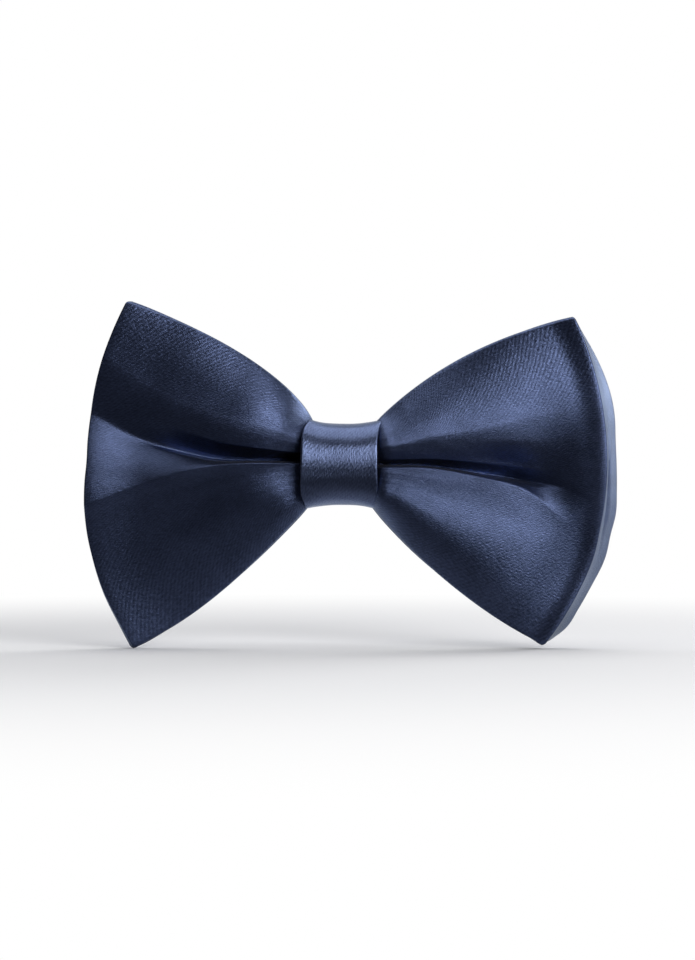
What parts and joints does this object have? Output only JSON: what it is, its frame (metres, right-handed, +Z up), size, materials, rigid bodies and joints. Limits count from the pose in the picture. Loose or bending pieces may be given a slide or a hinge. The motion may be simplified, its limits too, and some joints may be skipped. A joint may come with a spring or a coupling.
{
  "type": "bow tie",
  "caption": "Ready-tied butterfly bow tie in satin: folded wings gathered into a wrapped centre knot, with sprung steel clip levers at the back that grip a shirt collar.",
  "frame": {"origin": "middle of the clip plate's rear face, where the shirt collar lies against it, behind the centre of the knot", "axes": "+X to the right as the front is seen, +Y from the front of the bow back towards the wearer, +Z up as worn"},
  "size_m": [0.1198, 0.0226, 0.0774],
  "materials": {
    "satin": "navy satin, fine diagonal weave, soft sheen",
    "interlining": "matt off-white canvas",
    "thread": "navy twisted polyester thread",
    "plated_steel": "nickel-plated stamped sheet",
    "pin_steel": "bright drawn pin with formed heads",
    "spring_steel": "bright spring wire"
  },
  "bodies": {
    "bow": {"bow_band": "satin", "bow_interlining": "interlining", "waist_thread": "thread", "knot_band": "satin", "knot_interlining": "interlining", "knot_stitches": "thread", "clip_base": "plated_steel", "hinge_pin_left": "pin_steel", "hinge_pin_right": "pin_steel", "lever_spring_left": "spring_steel", "lever_spring_right": "spring_steel"},
    "lever_left": {"lever_left": "plated_steel"},
    "lever_right": {"lever_right": "plated_steel"}
  },
  "joints": [
    {"name": "lever_right_hinge", "type": "hinge", "parent": "bow", "child": "lever_right", "pos_m": [0.0155, 0.0022, 0], "axis": [0, 0, 1], "range_deg": [0, 28], "stiffness_Nm_per_rad": 0.03, "springref_deg": -45.84, "deforming": ["lever_spring_right"]},
    {"name": "lever_left_hinge", "type": "hinge", "parent": "bow", "child": "lever_left", "pos_m": [-0.0155, 0.0022, 0], "axis": [0, 0, -1], "range_deg": [0, 28], "stiffness_Nm_per_rad": 0.03, "springref_deg": -45.84, "deforming": ["lever_spring_left"]}
  ]
}
